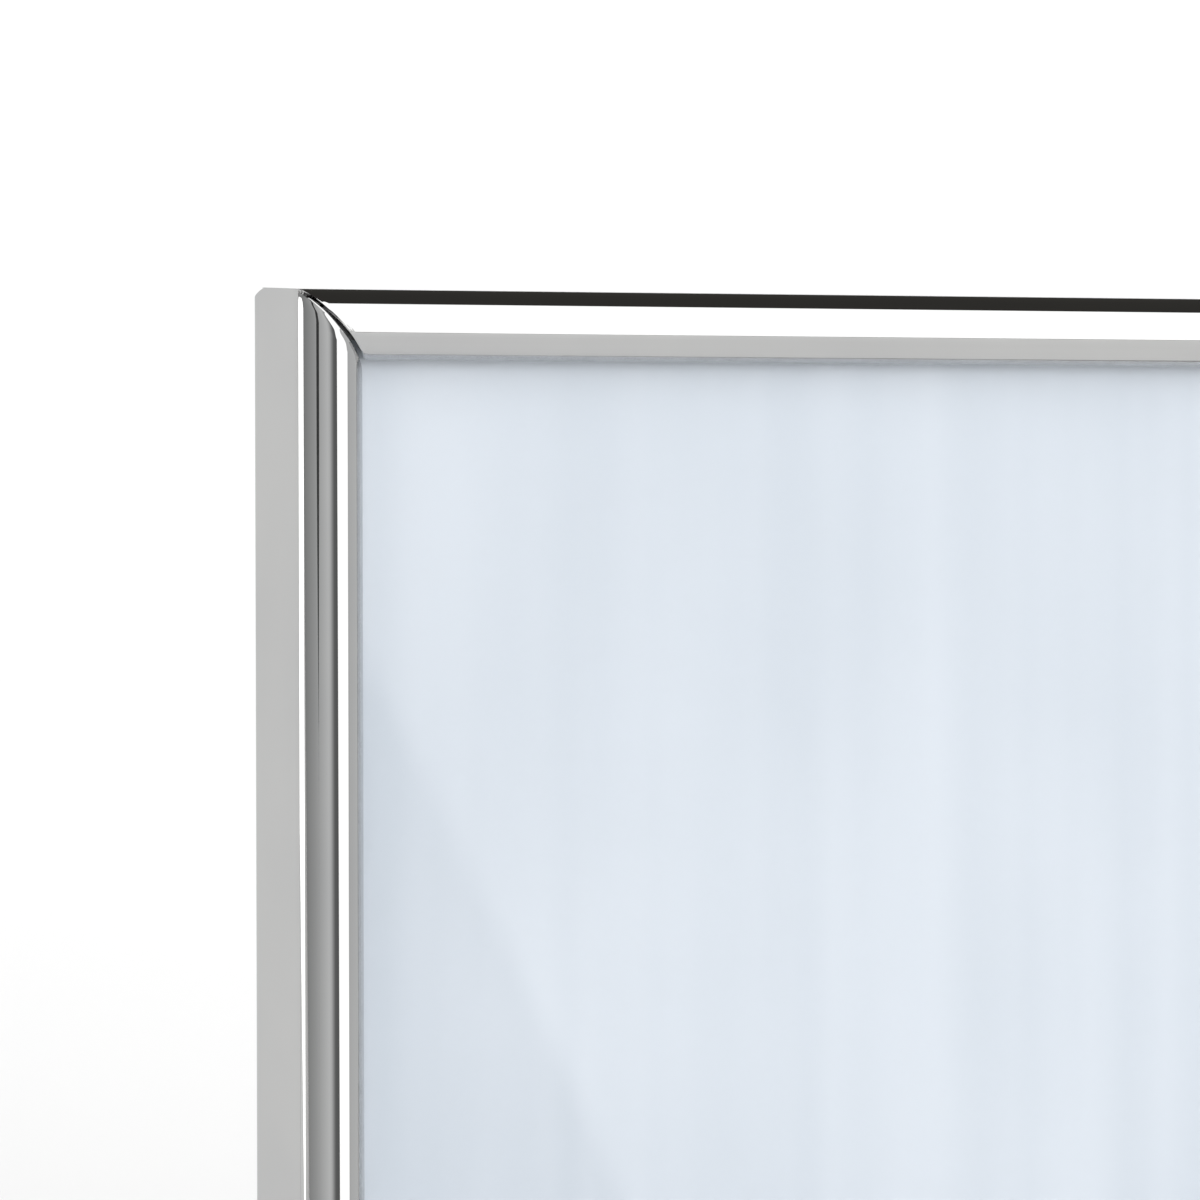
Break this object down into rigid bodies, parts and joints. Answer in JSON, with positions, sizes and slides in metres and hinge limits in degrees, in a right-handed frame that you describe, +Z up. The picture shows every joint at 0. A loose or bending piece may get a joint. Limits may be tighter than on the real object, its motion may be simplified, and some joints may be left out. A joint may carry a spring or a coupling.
{
  "type": "photo frame",
  "caption": "Chrome-plated steel photo frame with mitred half-round rails, glass, a board back held by turn clips, a folding easel leg and a hanging ring.",
  "frame": {"origin": "on the table, under the middle of the standing frame's box", "axes": "+Z up, -Y the side that the glass faces, +X to the right as seen from the front"},
  "size_m": [0.133, 0.074, 0.1761],
  "materials": {
    "plated_rail": "polished nickel-chrome plate on rolled steel",
    "clear_glass": "clear float glass",
    "blank_paper": "blank pale satin insert",
    "grey_card": "grey backing card",
    "black_board": "black velour-faced board",
    "zinc_key": "zinc-plated strip",
    "clip_steel": "bright spring steel",
    "hinge_metal": "nickel-plated sheet",
    "hanger_metal": "nickel-plated sheet",
    "rivet_metal": "flat-headed rivets"
  },
  "bodies": {
    "frame": {"rail_bottom": "plated_rail", "rail_top": "plated_rail", "rail_left": "plated_rail", "rail_right": "plated_rail", "corner_key_bottom_left": "zinc_key", "corner_key_bottom_right": "zinc_key", "corner_key_top_left": "zinc_key", "corner_key_top_right": "zinc_key", "glass_pane": "clear_glass", "insert_sheet": "blank_paper", "filler_card": "grey_card", "back_board": "black_board", "clip_rivets": "rivet_metal", "hinge_fixed_leaf": "hinge_metal", "hinge_pin": "hinge_metal", "hinge_rivets": "rivet_metal", "hanger_strap": "hanger_metal", "hanger_rivet": "rivet_metal"},
    "leg": {"easel_leg": "black_board", "hinge_moving_leaf": "hinge_metal", "leg_rivets": "rivet_metal"},
    "clip_top_left": {"clip_top_left": "clip_steel"},
    "clip_top_right": {"clip_top_right": "clip_steel"},
    "clip_bottom_left": {"clip_bottom_left": "clip_steel"},
    "clip_bottom_right": {"clip_bottom_right": "clip_steel"},
    "clip_left_upper": {"clip_left_upper": "clip_steel"},
    "clip_left_lower": {"clip_left_lower": "clip_steel"},
    "clip_right_upper": {"clip_right_upper": "clip_steel"},
    "clip_right_lower": {"clip_right_lower": "clip_steel"},
    "ring": {"hanger_ring": "hanger_metal"}
  },
  "joints": [
    {"name": "leg_fold", "type": "hinge", "parent": "frame", "child": "leg", "pos_m": [0, 0.00919, 0.11484], "axis": [-1, 0, 0], "range_deg": [0, 30.56]},
    {"name": "clip_top_left_turn", "type": "hinge", "parent": "frame", "child": "clip_top_left", "pos_m": [-0.03993, 0.0238, 0.16483], "axis": [0, 0.9511, -0.309], "range_deg": [-90, 90]},
    {"name": "clip_top_right_turn", "type": "hinge", "parent": "frame", "child": "clip_top_right", "pos_m": [0.03993, 0.0238, 0.16483], "axis": [0, 0.9511, -0.309], "range_deg": [-90, 90]},
    {"name": "clip_bottom_left_turn", "type": "hinge", "parent": "frame", "child": "clip_bottom_left", "pos_m": [-0.03993, -0.02648, 0.01008], "axis": [0, 0.9511, -0.309], "range_deg": [-90, 90]},
    {"name": "clip_bottom_right_turn", "type": "hinge", "parent": "frame", "child": "clip_bottom_right", "pos_m": [0.03993, -0.02648, 0.01008], "axis": [0, 0.9511, -0.309], "range_deg": [-90, 90]},
    {"name": "clip_left_upper_turn", "type": "hinge", "parent": "frame", "child": "clip_left_upper", "pos_m": [-0.05636, 0.0145, 0.13621], "axis": [0, 0.9511, -0.309], "range_deg": [-90, 90]},
    {"name": "clip_left_lower_turn", "type": "hinge", "parent": "frame", "child": "clip_left_lower", "pos_m": [-0.05636, -0.01719, 0.03869], "axis": [0, 0.9511, -0.309], "range_deg": [-90, 90]},
    {"name": "clip_right_upper_turn", "type": "hinge", "parent": "frame", "child": "clip_right_upper", "pos_m": [0.05636, 0.0145, 0.13621], "axis": [0, 0.9511, -0.309], "range_deg": [-90, 90]},
    {"name": "clip_right_lower_turn", "type": "hinge", "parent": "frame", "child": "clip_right_lower", "pos_m": [0.05636, -0.01719, 0.03869], "axis": [0, 0.9511, -0.309], "range_deg": [-90, 90]},
    {"name": "ring_swing", "type": "hinge", "parent": "frame", "child": "ring", "pos_m": [0, 0.02389, 0.16027], "axis": [-1, 0, 0], "range_deg": [-162, 8]}
  ]
}
